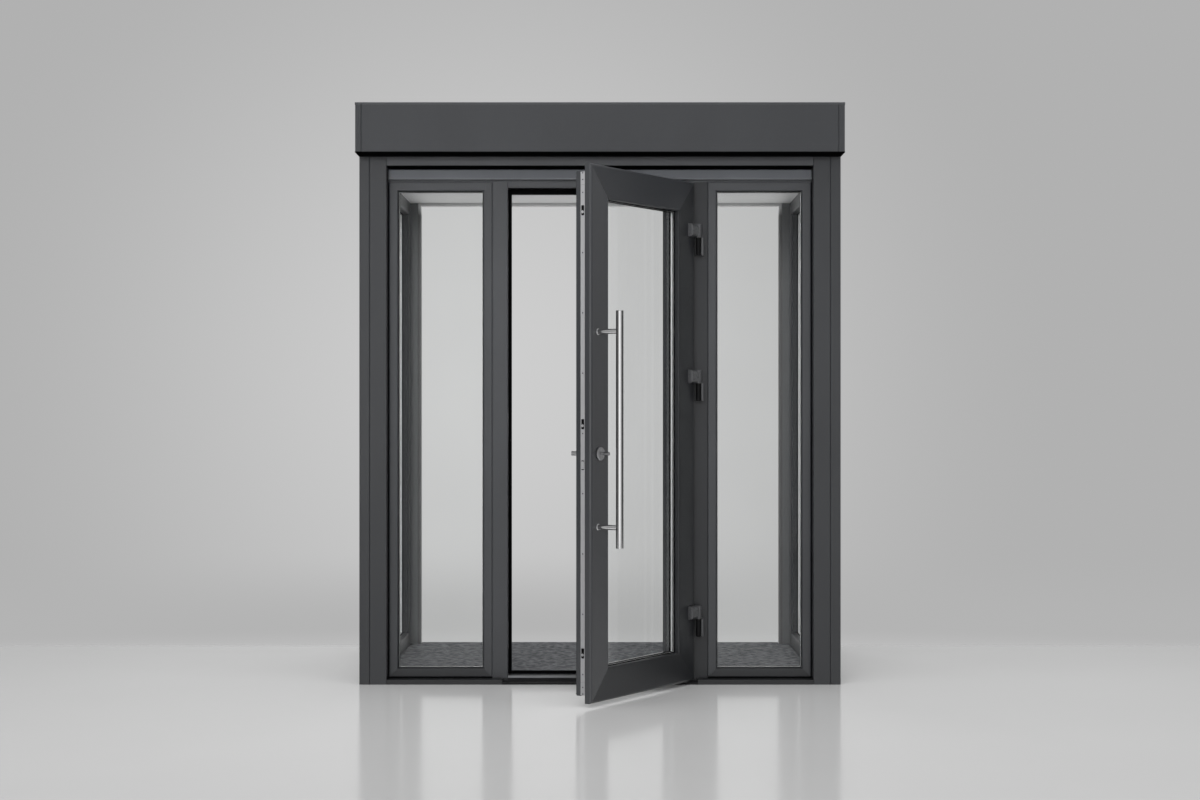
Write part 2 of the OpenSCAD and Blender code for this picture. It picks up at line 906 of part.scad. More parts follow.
module on_lock_axis() {
    out_of_leaf(lock_inset, lock_z) children();
}

// Pull bar with a fine joint at each end cap, on two standoffs with collars
module pull_handle() {
    bevel = 1;
    joint = 1.2;
    cap = bar_cap + joint;
    half = [[0, 0], [bar_r - bevel, 0], [bar_r, bevel], [bar_r, bar_cap], [bar_r - joint, bar_cap],
        [bar_r - joint, cap], [bar_r, cap]];
    rest = [for (i = [len(half) - 1 : -1 : 0]) [half[i][0], bar_len - half[i][1]]];
    color(steel) {
        out_of_leaf(bar_inset, bar_z) translate([0, -bar_len / 2, bar_out]) rotate([-90, 0, 0])
            rotate_extrude() polygon(concat(half, rest));
        for (s = [-1, 1]) out_of_leaf(bar_inset, bar_z + s * bar_fix / 2) {
            cylinder(h = bar_out, r = standoff_r);
            bevelled_bar(collar_r, collar_t, bevel);
        }
    }
}

module lock_roses() {
    bore_r = spindle_r + running_gap;
    bevel = 2;
    color(steel) on_lock_axis() for (z = [0, -leaf_t - rose_t]) translate([0, 0, z])
        rotate_extrude() polygon([
            [bore_r, 0], [rose_r - bevel, 0], [rose_r, bevel], [rose_r, rose_t - bevel],
            [rose_r - bevel, rose_t], [bore_r, rose_t]
        ]);
}

// Spindle through the lock stile, with a round knob outside and a winged turn inside
module lock_turn() {
    bevel = 1;
    out_z = rose_t + turn_gap;
    in_z = -leaf_t - out_z;
    wing_z = turn_len / 3;
    color(steel) on_lock_axis() {
        translate([0, 0, in_z - over]) cylinder(h = out_z - in_z + 2 * over, r = spindle_r);
        translate([0, 0, out_z]) bevelled_bar(knob_r, knob_len, bevel);
        translate([0, 0, in_z]) mirror([0, 0, 1]) {
            bevelled_bar(spindle_r + 1, turn_len - bevel, bevel);
            translate([0, 0, wing_z]) intersection() {
                bevelled_bar(turn_r, turn_len - wing_z, bevel);
                translate([-turn_t / 2, -turn_r, 0]) cube([turn_t, 2 * turn_r, turn_len]);
            }
        }
    }
}

corner_posts();
casing_stiles();
casing_head();
base_rails();
frame_head();
door_head();
weather_rail();
mullion_left();
mullion_right();
threshold_base();
threshold();
door_seal();
frame_gasket();
sidelite_stiles();
sidelite_rails();
sidelite_glass();
side_wall_stiles();
side_wall_rails();
side_wall_glass();
glazing_beads();
glazing_gaskets();
glass_spacers();
side_beams();
rear_posts();
rear_head();
rear_trim_strip();
floor_tray();
entrance_mat();
ceiling_panel();
roof_joists();
roof_panel();
roof_edge_trim();
fascia_front();
fascia_sides();
fascia_rear();
soffit();
strike_plates();
hinge_frame_parts();
door_stile_lock();
door_stile_hinge();
door_rails();
door_glass();
door_spacer();
door_beads();
door_gaskets();
lock_faceplate();
lock_roses();
pull_handle();
hinge_leaf_parts();
lock_turn();
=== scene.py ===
import json
import math

import bmesh
import bpy
from mathutils import Matrix, Vector


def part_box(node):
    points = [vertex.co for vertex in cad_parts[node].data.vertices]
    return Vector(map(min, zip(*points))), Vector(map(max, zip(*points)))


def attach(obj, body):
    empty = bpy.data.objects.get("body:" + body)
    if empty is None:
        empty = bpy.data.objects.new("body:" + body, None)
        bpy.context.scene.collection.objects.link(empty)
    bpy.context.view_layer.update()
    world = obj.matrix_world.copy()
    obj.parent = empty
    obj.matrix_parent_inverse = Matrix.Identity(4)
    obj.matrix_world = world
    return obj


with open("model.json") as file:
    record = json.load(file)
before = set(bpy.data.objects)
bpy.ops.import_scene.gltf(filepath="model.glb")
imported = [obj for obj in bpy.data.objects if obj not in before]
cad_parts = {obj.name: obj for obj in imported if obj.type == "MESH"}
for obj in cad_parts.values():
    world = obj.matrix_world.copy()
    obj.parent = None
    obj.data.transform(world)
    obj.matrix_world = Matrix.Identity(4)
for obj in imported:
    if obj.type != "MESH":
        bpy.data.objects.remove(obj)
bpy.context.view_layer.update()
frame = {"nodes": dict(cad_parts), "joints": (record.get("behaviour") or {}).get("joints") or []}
NODES = frame["nodes"]
DOOR_HINGE = next(joint for joint in frame["joints"] if joint["name"] == "door_hinge")
REST_OPENING = math.radians(-DOOR_HINGE["range_deg"][0])
# leaf coordinates: the hinge axis is z, the leaf lies along -x, and its street face looks along -y
LEAF = Matrix.Translation(DOOR_HINGE["pos_m"]) @ Matrix.Rotation(REST_OPENING, 4, "Z")


# ---------------------------------------------------------------- camera and lamps

CAMERA_AT = (0.0, -9.15, 1.163)
LENS = 60.3
# how far the horizon lies below the middle of the picture, as a part of its width
HORIZON_DROP = 1 / 150

camera = bpy.data.objects.new("camera", bpy.data.cameras.new("camera"))
camera.data.lens = LENS
camera.data.shift_y = HORIZON_DROP
camera.location = CAMERA_AT
camera.rotation_euler = (math.radians(90), 0, 0)
bpy.context.scene.collection.objects.link(camera)
bpy.context.scene.camera = camera
bpy.context.scene.view_settings.view_transform = "Standard"


def soft_lamp(name, place, target, size, watts, spread=180, mirrored=False):
    """An area lamp that looks at target; only reflections show it, and only where mirrored is true"""
    light = bpy.data.lights.new(name, "AREA")
    light.shape = "RECTANGLE"
    light.size, light.size_y = size
    light.energy = watts
    light.spread = math.radians(spread)
    lamp = bpy.data.objects.new(name, light)
    lamp.location = place
    lamp.rotation_euler = (Vector(target) - Vector(place)).to_track_quat("-Z", "Y").to_euler()
    lamp.visible_camera = lamp.visible_transmission = False
    lamp.visible_glossy = mirrored
    bpy.context.scene.collection.objects.link(lamp)


soft_lamp("lamp_key", place=(-1.2, -7.5, 2.9), target=(0.0, -0.6, 2.0), size=(4.5, 1.6), watts=52,
          spread=60)
soft_lamp("lamp_above", place=(0.0, -2.8, 5.6), target=(0.0, -1.6, 0.0), size=(4.0, 3.0), watts=108)
soft_lamp("lamp_rear", place=(0.0, 3.6, 1.5), target=(0.0, 0.0, 1.5), size=(2.2, 1.6), watts=60)
soft_lamp("lamp_panel", place=(0.0, -10.6, 1.12), target=(0.0, -0.6, 1.12), size=(7.0, 2.45), watts=43,
          mirrored=True)
for side in (-1, 1):
    soft_lamp("lamp_side", place=(side * 6.5, -4.5, 3.4), target=(0.0, -0.3, 1.1), size=(2.5, 2.5),
              watts=60)


# ---------------------------------------------------------------- materials

# sockets of a Mix node: its factor, two numbers, two colours, and the colour that it gives
FACTOR, NUMBER_A, NUMBER_B, COLOUR_A, COLOUR_B, MIXED_COLOUR = 0, 2, 3, 6, 7, 2
ANTHRACITE = (0.0345, 0.0363, 0.040)
MATERIALS = {}


def put(tree, kind, inputs=None, out=0, **settings):
    """Adds a shader node, sets or links its inputs, and returns one output, or all where out is None"""
    made = tree.nodes.new("ShaderNode" + kind)
    for key, value in settings.items():
        setattr(made, key, value)
    for key, value in (inputs or {}).items():
        if isinstance(value, bpy.types.NodeSocket):
            tree.links.new(value, made.inputs[key])
        else:
            made.inputs[key].default_value = value
    return made.outputs if out is None else made.outputs[out]


def grey(value):
    return (value, value, value, 1.0)


class Finish:
    """A Principled material, and the few nodes that vary it over the piece's own coordinates in metres"""

    def __init__(self, name, **sockets):
        material = bpy.data.materials.new(name)
        MATERIALS[name] = material
        material.use_nodes = True
        self.tree = material.node_tree
        self.shader = self.tree.nodes["Principled BSDF"]
        self.place = put(self.tree, "TexCoord", out="Object")
        for key, value in sockets.items():
            self.shader.inputs[key.replace("_", " ")].default_value = value

    def put(self, kind, inputs=None, out=0, **settings):
        return put(self.tree, kind, inputs, out, **settings)

    def drive(self, socket, value):
        self.tree.links.new(value, self.shader.inputs[socket])

    def show(self, factor, other):
        """Shows another shader in place of this one where factor is 1"""
        shown = self.put("MixShader", {0: factor, 1: self.shader.outputs[0], 2: other})
        self.tree.links.new(shown, self.tree.nodes["Material Output"].inputs["Surface"])

    def spot(self, scale, detail=3.0, stretch=(1, 1, 1)):
        """Noise around 0.5, scale patches to the metre; a stretch above 1 packs them closer"""
        at = self.place
        if tuple(stretch) != (1, 1, 1):
            at = self.put("Mapping", {"Vector": at, "Scale": stretch})
        return self.put("TexNoise", {"Vector": at, "Scale": scale, "Detail": detail})

    def span(self, value, low, high, start=0.3, end=0.7):
        """value from start to end, mapped on low to high"""
        ends = {"From Min": start, "From Max": end, "To Min": low, "To Max": high}
        return self.put("MapRange", {"Value": value, **ends})

    def height(self):
        return self.put("SeparateXYZ", {"Vector": self.place}, out="Z")

    def depth(self):
        return self.put("SeparateXYZ", {"Vector": self.place}, out="Y")

    def aside(self):
        """Distance from the middle plane of the cabin"""
        across = self.put("SeparateXYZ", {"Vector": self.place}, out="X")
        return self.put("Math", {0: across}, operation="ABSOLUTE")

    def tones(self, value, dark, light, start=0.3, end=0.7):
        """Base colour between two tones"""
        factor = self.span(value, 0.0, 1.0, start, end)
        colours = {FACTOR: factor, COLOUR_A: (*dark, 1.0), COLOUR_B: (*light, 1.0)}
        self.drive("Base Color", self.put("Mix", colours, out=MIXED_COLOUR, data_type="RGBA"))

    def rough(self, value, low, high):
        self.drive("Roughness", self.span(value, low, high))

    def relief(self, height, depth, edge=0.0):
        """Bump of that depth in metres, over edges that are softened by a radius of edge"""
        inputs = {"Height": height, "Distance": depth, "Strength": 1.0}
        if edge:
            inputs["Normal"] = self.put("Bevel", {"Radius": edge}, samples=4)
        self.drive("Normal", self.put("Bump", inputs))

    def satin(self, edge=0.0012, low=0.30, high=0.36):
        """The fine even grain of foil or paint"""
        self.rough(self.spot(60.0, 5.0), low, high)
        self.relief(self.spot(1800.0, 2.0), 0.00002, edge)


def scaled(colour, factor):
    return tuple(c * factor for c in colour)


def foil(name, colour, edge=0.0012, low=0.30, high=0.36, **sockets):
    """Satin foil or paint: a fine even grain, and slow changes of tone over it"""
    made = Finish(name, **sockets)
    made.tones(made.spot(7.0, 4.0, (1.0, 1.0, 0.35)), scaled(colour, 0.94), scaled(colour, 1.06))
    made.satin(edge, low, high)


def shade_graded_foil(name, foot, head):
    """Anthracite foil that goes from one part of its tone at the foot to another at the head: painted
    shade, darker towards the foot where less light falls
    """
    made = Finish(name)
    made.tones(made.height(), scaled(ANTHRACITE, foot), scaled(ANTHRACITE, head), 0.3, 1.9)
    made.satin()


def brushed(name, colour, low, high, along, metallic=1.0):
    """Metal with fine brush lines along one axis"""
    made = Finish(name, Metallic=metallic)
    across_lines, along_lines = 1600.0, 20.0
    stretch = [along_lines if axis == along else across_lines for axis in "xyz"]
    lines = made.spot(1.0, 3.0, stretch)
    made.tones(lines, scaled(colour, 0.88), scaled(colour, 1.06))
    made.rough(lines, low, high)
    made.relief(lines, 0.000015, 0.0005)


def plain(name, colour, spread, scale, roughness, grain=900.0, depth=0.00003, edge=0.0008, **sockets):
    """A matt or satin surface with mottled tone, scale patches to the metre, and a grain"""
    made = Finish(name, **sockets)
    made.tones(made.spot(scale, 4.0), scaled(colour, 1 - spread), scaled(colour, 1 + spread))
    made.rough(made.spot(scale * 3, 3.0), roughness - 0.05, roughness + 0.05)
    made.relief(made.spot(grain, 2.0), depth, edge)


def glass(name, ior):
    """Clear float glass with a faint tint; lamps shine through it"""
    made = Finish(name, Transmission_Weight=1.0, Roughness=0.0, IOR=ior)
    made.tones(made.spot(3.0), (0.985, 0.99, 0.988), (0.995, 1.0, 0.998))
    shine_through = made.put("BsdfTransparent", {"Color": grey(0.93)})
    made.show(made.put("LightPath", out="Is Shadow Ray"), shine_through)


def pale_trim():
    """Grey trim round the open back, white along its top where it meets the ceiling: painted light that
    lifts a band lying partly in shade
    """
    made = Finish("pale_trim")
    made.tones(made.height(), (0.17, 0.17, 0.172), (0.80, 0.80, 0.80), 2.10, 2.14)
    made.rough(made.spot(27.0), 0.40, 0.50)
    made.relief(made.spot(900.0, 2.0), 0.00003, 0.0008)


def mat_fibre():
    """Ribbed entrance mat: pile in low ridges along the doorway, with mixed fibre tones"""
    made = Finish("mat_fibre", Specular_IOR_Level=0.2)
    made.tones(made.spot(42.0, 8.0), (0.070, 0.073, 0.078), (0.205, 0.21, 0.22), 0.36, 0.64)
    made.rough(made.spot(300.0), 0.85, 0.95)
    wave = {"Vector": made.place, "Scale": 25.0, "Distortion": 0.3}
    ridge = made.put("TexWave", wave, out="Fac", bands_direction="Y")
    tufts = made.spot(900.0, 2.0)
    made.relief(made.put("Math", {0: ridge, 1: tufts}, operation="ADD"), 0.0006)


def inward_lit_foil(name, way, face, painted_light_tone):
    """Anthracite foil, lighter on the face towards the cabin, where the coordinate way is least: painted
    light on faces that lie in the cabin's shade
    """
    made = Finish(name)
    made.tones(way(made), painted_light_tone, ANTHRACITE, face + 0.0003, face + 0.0006)
    made.satin()


def hinge_finish():
    """Frame half of a hinge: near-black barrel on the hinge axis, partly the barrel's own dark finish and
    partly painted shadow of the gap round it, and the arm beside it in paint
    """
    made = Finish("hinge_finish", Specular_IOR_Level=0.12)
    level = made.put("VectorMath", {0: made.place, 1: (1.0, 1.0, 0.0)}, operation="MULTIPLY")
    away = made.put("VectorMath", {0: level, 1: DOOR_HINGE["pos_m"]}, out="Value", operation="DISTANCE")
    made.tones(away, (0.0040, 0.0040, 0.0043), (0.066, 0.067, 0.070), 0.0130, 0.0136)
    made.rough(made.spot(200.0), 0.30, 0.38)
    made.relief(made.spot(1500.0, 2.0), 0.00002, 0.0008)


foil("frame_anthracite", ANTHRACITE)
foil("leaf_anthracite", scaled(ANTHRACITE, 0.90), edge=0.0008, low=0.18, high=0.24, Specular_IOR_Level=0.75)
# door rails and sidelite rails: painted shade that darkens them towards the foot
shade_graded_foil("rail_anthracite", foot=0.50, head=0.90)
shade_graded_foil("sash_anthracite", foot=0.52, head=1.0)
foil("shaded_anthracite", scaled(ANTHRACITE, 0.5), edge=0.0008, Specular_IOR_Level=0.4)
foil("casing_anthracite", scaled(ANTHRACITE, 0.68))
foil("fascia_anthracite", scaled(ANTHRACITE, 0.72), edge=0.0015, low=0.42, high=0.50)
foil("trim_metal", ANTHRACITE, edge=0.0006)
# weather rail: a painted metal rail, its anthracite made 2.3 times lighter as painted light for the light
# its upturned face catches under the fascia
foil("rail_metal", scaled(ANTHRACITE, 2.3), edge=0.001)
# base rails: a darker copy of the anthracite, painted shade along the foot of the front wall
foil("base_anthracite_painted_shade", scaled(ANTHRACITE, 0.3))
inward_lit_foil("rear_anthracite", Finish.depth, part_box("rear_posts")[0].y, painted_light_tone=(0.18, 0.185, 0.19))
side_wall_face = min(abs(v.co.x) for v in NODES["side_wall_stiles"].data.vertices)
inward_lit_foil("side_anthracite", Finish.aside, side_wall_face, painted_light_tone=(0.078, 0.080, 0.083))
glass("clear_glass", ior=1.17)
glass("side_glass", ior=1.01)
brushed("threshold_aluminium", (0.265, 0.272, 0.28), low=0.30, high=0.42, along="x")
brushed("spacer_aluminium", (0.95, 0.955, 0.96), low=0.20, high=0.28, along="z", metallic=0.15)
brushed("leaf_spacer", (0.62, 0.625, 0.63), low=0.25, high=0.35, along="z", metallic=0.1)
brushed("lock_steel", (0.375, 0.375, 0.385), low=0.30, high=0.40, along="z", metallic=0.35)
brushed("lock_trim", (0.52, 0.52, 0.53), low=0.25, high=0.35, along="z")
brushed("handle_steel", (0.77, 0.77, 0.775), low=0.08, high=0.13, along="z")
plain("base_dark", (0.014, 0.014, 0.015), spread=0.1, scale=20.0, roughness=0.5, Specular_IOR_Level=0.1)
plain("screw_steel", (0.30, 0.30, 0.31), spread=0.06, scale=300.0, roughness=0.35, Metallic=0.5)
plain("black_rubber", (0.0025, 0.0025, 0.0027), spread=0.15, scale=40.0, roughness=0.6, grain=1200.0,
      depth=0.00004, Specular_IOR_Level=0.0)
plain("hinge_caps", (0.053, 0.054, 0.057), spread=0.08, scale=60.0, roughness=0.30, grain=1500.0,
      depth=0.00002, edge=0.001)
plain("ceiling_white", (0.93, 0.93, 0.93), spread=0.02, scale=8.0, roughness=0.5)
plain("tray_aluminium", (0.45, 0.45, 0.46), spread=0.05, scale=15.0, roughness=0.4, Metallic=1.0)
plain("joist_timber", (0.42, 0.29, 0.16), spread=0.2, scale=12.0, roughness=0.7)
plain("roof_skin", (0.13, 0.13, 0.14), spread=0.08, scale=14.0, roughness=0.7)
# near-black: painted shade on the soffit under the fascia, in the screw sockets and bolt pockets, and
# partly on the seals under the boards
plain("soffit_black", (0.003, 0.003, 0.0032), spread=0.1, scale=20.0, roughness=0.6, Specular_IOR_Level=0.0)
hinge_finish()
pale_trim()
mat_fibre()


def dress(material, *nodes):
    """Gives CAD nodes one material in place of their own"""
    for name in nodes:
        mesh = NODES[name].data
        mesh.materials.clear()
        mesh.materials.append(MATERIALS[material])


dress("frame_anthracite", *NODES)
dress("side_anthracite", "side_wall_stiles")
# The casing head keeps the lighter frame tone from the line above, unlike the casing stiles: painted light
# where it lies in the soffit's shade.
dress("casing_anthracite", "corner_posts", "casing_stiles")
dress("leaf_anthracite", "door_stile_lock", "door_beads")
dress("rail_anthracite", "door_rails")
dress("sash_anthracite", "sidelite_rails")
dress("shaded_anthracite", "door_stile_hinge", "mullion_right")
dress("base_anthracite_painted_shade", "base_rails")
dress("fascia_anthracite", "fascia_front", "fascia_sides", "fascia_rear")
dress("trim_metal", "roof_edge_trim")
dress("rail_metal", "weather_rail")
dress("base_dark", "threshold_base")
dress("clear_glass", "sidelite_glass", "door_glass")
dress("side_glass", "side_wall_glass")
# The black of the frame gasket, in the gaps beside and above the inner frame, is partly a real seal and
# partly painted shade in those gaps.
dress("black_rubber", "door_seal", "frame_gasket", "glazing_gaskets", "door_gaskets")
dress("threshold_aluminium", "threshold")
dress("spacer_aluminium", "glass_spacers")
dress("leaf_spacer", "door_spacer")
dress("lock_steel", "strike_plates", "lock_faceplate")
dress("lock_trim", "lock_roses", "lock_turn")
dress("handle_steel", "pull_handle")
dress("hinge_caps", "hinge_leaf_parts")
dress("hinge_finish", "hinge_frame_parts")
dress("rear_anthracite", "rear_posts")
dress("pale_trim", "rear_trim_strip")
dress("ceiling_white", "ceiling_panel")
dress("tray_aluminium", "floor_tray")
dress("mat_fibre", "entrance_mat")
dress("joist_timber", "roof_joists")
dress("roof_skin", "roof_panel")
# the soffit in near-black: painted shade on the downward face under the fascia
dress("soffit_black", "soffit")


# ---------------------------------------------------------------- mesh tools

def solids(node, place=Matrix()):
    """Lowest and highest corner of each separate solid of a CAD node, in the coordinates of place"""
    shape = bmesh.new()
    shape.from_mesh(NODES[node].data)
    shape.transform(place.inverted())
    bmesh.ops.remove_doubles(shape, verts=shape.verts, dist=1e-6)
    left, found = set(shape.verts), []
    while left:
        group, edge = [], [left.pop()]
        while edge:
            vert = edge.pop()
            group.append(vert.co.copy())
            near = {link.other_vert(vert) for link in vert.link_edges} & left
            left -= near
            edge.extend(near)
        found.append([Vector(pick(co[i] for co in group) for i in range(3)) for pick in (min, max)])
    shape.free()
    return sorted(found, key=lambda corners: tuple(corners[0]))


def turned(shape, base, axis, profile, sides=30):
    """A closed solid of rings about an axis; a ring is (radius, height), or with a lobe six-lobed"""
    turn = Vector(axis).to_track_quat("Z", "Y").to_matrix()
    rings = []
    for radius, height, *lobe in profile:
        rings.append([])
        for k in range(sides):
            angle = math.tau * k / sides
            reach = radius + sum(lobe) * math.cos(6 * angle)
            at = Vector((reach * math.cos(angle), reach * math.sin(angle), height))
            rings[-1].append(shape.verts.new(Vector(base) + turn @ at))
    for low, high in zip(rings, rings[1:]):
        for k in range(sides):
            shape.faces.new((low[k - 1], low[k], high[k], high[k - 1]))
    shape.faces.new(rings[0])
    shape.faces.new(rings[-1])


def close(shape, ends):
    """Faces over and between the two ends of a bar, given as vertices in the same order"""
    for end in ends:
        shape.faces.new(end)
    for k in range(len(ends[0])):
        shape.faces.new((ends[0][k - 1], ends[0][k], ends[1][k], ends[1][k - 1]))


def bar(shape, outline, start, end, along=0):
    """A straight bar from start to end along one axis; its outline is points in the other two"""
    ends = []
    for at in (start, end):
        ends.append([shape.verts.new((*point[:along], at, *point[along:])) for point in outline])
    close(shape, ends)


def rounded(low, high, radius, steps=5):
    """Outline of a rectangle with round corners"""
    points = []
    left, right = low[0] + radius, high[0] - radius
    bottom, top = low[1] + radius, high[1] - radius
    for k, (a, b) in enumerate(((right, top), (left, top), (left, bottom), (right, bottom))):
        for step in range(steps + 1):
            angle = math.pi / 2 * (k + step / steps)
            points.append((a + radius * math.cos(angle), b + radius * math.sin(angle)))
    return points


def piece(name, shape, body, slot, material, place=Matrix()):
    """Makes an object of a shape drawn in the coordinates of place, and lets it ride on a body"""
    bmesh.ops.recalc_face_normals(shape, faces=shape.faces)
    shape.transform(place)
    mesh = bpy.data.meshes.new(name)
    shape.to_mesh(mesh)
    shape.free()
    mesh.shade_smooth()
    mesh.set_sharp_from_angle(angle=math.radians(35))
    mesh.materials.append(MATERIALS[material])
    made = bpy.data.objects.new(name, mesh)
    bpy.context.scene.collection.objects.link(made)
    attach(made, body)


class Screws:
    """Countersunk screws with a dark six-lobed socket: a black plug in the recess, as painted shade"""

    def __init__(self):
        self.heads, self.sockets = bmesh.new(), bmesh.new()

    def add(self, base, axis, radius):
        proud = 0.0006
        hole, lobe = radius * 0.5, radius * 0.08
        turned(self.heads, base, axis, [(radius, -0.0005), (radius, proud * 0.4), (radius * 0.9, proud),
                                        (radius * 0.56, proud, lobe), (hole, 0.0001, lobe)])
        turned(self.sockets, base, axis, [(hole, -0.0005, lobe), (hole, 0.0002, lobe)])

    def place(self, name, body, slot, at=Matrix()):
        piece(name, self.heads, body, slot, "screw_steel", at)
        piece(name + "_sockets", self.sockets, body, slot, "soffit_black", at)


# ---------------------------------------------------------------- lock, handle and hinge details

LOCK_SCREW_RADIUS = 0.0042
LATCH_HEIGHT = 0.940


def middle(low, high, axis):
    """Middle of a solid along one axis"""
    return (low[axis] + high[axis]) / 2


def lock_details():
    """Screws, bolt pockets and bolts on the faceplates of the leaf, and the screws of the strikes"""
    screws, pockets, bolts = Screws(), bmesh.new(), bmesh.new()
    lowest, long, highest = sorted(solids("lock_faceplate", LEAF), key=lambda corners: corners[0].z)
    face, mid = lowest[0].x, middle(*lowest, 1)
    heights = []
    for from_end in (0.005, 0.031):
        heights += [lowest[0].z + from_end, highest[1].z - from_end]
    count, inset = 9, 0.03
    reach = long[1].z - long[0].z - 2 * inset
    heights += [long[0].z + inset + reach * k / (count - 1) for k in range(count)]
    for z in heights:
        screws.add((face, mid, z), (-1, 0, 0), LOCK_SCREW_RADIUS)
    screws.place("faceplate_screws", "door", "lock_steel", LEAF)
    strikes = solids("strike_plates")
    levels = [middle(low, high, 2) for low, high in strikes]
    half_bolt, half_latch, half_width = 0.020, 0.019, 0.0065
    for z, half in [(level, half_bolt) for level in levels] + [(LATCH_HEIGHT, half_latch)]:
        outline = rounded((mid - half_width, z - half), (mid + half_width, z + half), 0.003)
        bar(pockets, outline, face - 0.0002, face + 0.001)
    nose = [(0.0036, 0.0), (0.0036, 0.0012), (0.0055, 0.0014), (0.0055, 0.0020), (0.0048, 0.0024)]
    below_middle = 0.006
    for z in levels:
        turned(bolts, (face, mid, z - below_middle), (-1, 0, 0), nose)
    latch = rounded((mid - 0.0055, LATCH_HEIGHT - 0.015), (mid + 0.0055, LATCH_HEIGHT + 0.015), 0.0015)
    bar(bolts, latch, face - 0.0016, face)
    # bolt pockets: black patches on the faceplates, as painted shade of the openings
    piece("bolt_pockets", pockets, "door", "soffit_black", "soffit_black", LEAF)
    piece("bolt_noses", bolts, "door", "lock_steel", "lock_steel", LEAF)
    screws = Screws()
    from_end = 0.012
    for low, high in strikes:
        for z in (low.z + from_end, high.z - from_end):
            screws.add((high.x, middle(low, high, 1), z), (1, 0, 0), LOCK_SCREW_RADIUS)
    screws.place("strike_screws", "cabin", "lock_steel")


def rim_gasket():
    """The grey gasket round the flat of the leaf's inner face"""
    shape = bmesh.new()
    inverse = LEAF.inverted()
    points = [inverse @ v.co for v in NODES["door_stile_hinge"].data.vertices]
    face = max(p.y for p in points)
    flat = [p for p in points if p.y > face - 0.00001]
    left = solids("lock_faceplate", LEAF)[0][1].x + 0.0005
    right = max(p.x for p in flat)
    foot, top = min(p.z for p in flat), max(p.z for p in flat)
    lip = [(0.0, 0.0), (0.0070, 0.0), (0.0068, 0.0026), (0.0050, 0.0040), (0.0024, 0.0040),
           (0.0004, 0.0028)]
    for x, inward in ((left, 1), (right, -1)):
        bar(shape, [(x + inward * width, face + rise) for width, rise in lip], foot, top, along=2)
    for z, inward in ((foot, 1), (top, -1)):
        bar(shape, [(face + rise, z + inward * width) for width, rise in lip], left, right)
    piece("leaf_rim_gasket", shape, "door", "frame_anthracite", "casing_anthracite", LEAF)


def handle_details():
    """A grub screw under each standoff of the pull handle"""
    screws = Screws()
    inverse = LEAF.inverted()
    low, high = solids("pull_handle", LEAF)[0]
    seat, standoff_radius = 0.012, 0.0099
    points = [inverse @ v.co for v in NODES["pull_handle"].data.vertices]
    rims = sorted(p.z for p in points if p.y > seat)
    for rim in (rims[:len(rims) // 2], rims[len(rims) // 2:]):
        under = (rim[0] + rim[-1]) / 2 - standoff_radius
        screws.add((middle(low, high, 0), 0.004, under), (0, 0, -1), 0.0026)
    screws.place("standoff_screws", "door", "handle_steel", LEAF)


def hinge_details():
    """A pale bearing ring between the two halves of each hinge, and a cap on its foot"""
    rings, caps = bmesh.new(), bmesh.new()
    x, y = DOOR_HINGE["pos_m"][:2]
    joint = 0.0742
    ring = [(0.0104, 0.0), (0.0112, 0.0003), (0.0112, 0.0011), (0.0104, 0.0014)]
    cap = [(0.0085, -0.001), (0.0085, 0.0004), (0.0075, 0.0010)]
    for lowest, _ in solids("hinge_frame_parts"):
        turned(rings, (x, y, lowest.z + joint), (0, 0, 1), ring)
        turned(caps, (x, y, lowest.z), (0, 0, -1), cap)
    piece("hinge_rings", rings, "cabin", "lock_trim", "screw_steel")
    piece("hinge_foot_caps", caps, "cabin", "hinge_caps", "hinge_caps")


# ---------------------------------------------------------------- seals and trims on the frame

def threshold_inserts():
    """Rubber strips in the grooves of the step"""
    shape = bmesh.new()
    low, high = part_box("threshold")
    points = [v.co for v in NODES["threshold"].data.vertices]
    groove = max(p.z for p in points if p.z < high.z - 0.0002 and p.y > low.y + 0.005)
    sides = sorted({round(p.y, 4) for p in points if abs(p.z - groove) < 0.0001})
    shoulder, top, bevel = high.z + 0.0002, high.z + 0.0006, 0.0008
    for start, end in zip(sides[::2], sides[1::2]):
        outline = [(start, groove), (end, groove), (end, shoulder), (end - bevel, top),
                   (start + bevel, top), (start, shoulder)]
        bar(shape, outline, low.x + 0.002, high.x - 0.002)
    piece("threshold_inserts", shape, "cabin", "black_rubber", "black_rubber")


LIP_THICKNESS = 0.0008


def angle_lip(face, inner, foot, rise):
    """Outline of a thin seal under a board, from its face to inner, that turns up before the face"""
    out, down = math.copysign(LIP_THICKNESS, face - inner), 0.0012
    return [(face + out, foot - down), (inner, foot - down), (inner, foot), (face, foot),
            (face, foot + rise), (face + out, foot + rise)]


def black_seals():
    """Sealing lips under the fascia boards, between casing head and soffit, and under the casing head;
    their black is partly real seal and partly painted shade under the boards
    """
    shape = bmesh.new()
    front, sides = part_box("fascia_front"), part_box("fascia_sides")
    foot, face, half = front[0].z, front[0].y, sides[1].x
    rise, board = 0.0022, 0.025
    reach = half + LIP_THICKNESS
    bar(shape, angle_lip(face, front[1].y, foot, rise), -reach, reach)
    for side in (-1, 1):
        bar(shape, angle_lip(side * half, side * (half - board), foot, rise), face, sides[1].y, along=1)
    low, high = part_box("casing_head")
    bead = [(low.y, high.z), (low.y, high.z - 0.0048), (low.y - 0.0010, high.z - 0.0044),
            (low.y - 0.0034, high.z - 0.0020), (low.y - 0.0042, high.z)]
    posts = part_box("corner_posts")
    bar(shape, bead, posts[0].x, posts[1].x)
    bar(shape, angle_lip(low.y, high.y - 0.004, low.z, 0.0026), low.x, high.x)
    piece("black_seals", shape, "cabin", "soffit_black", "soffit_black")


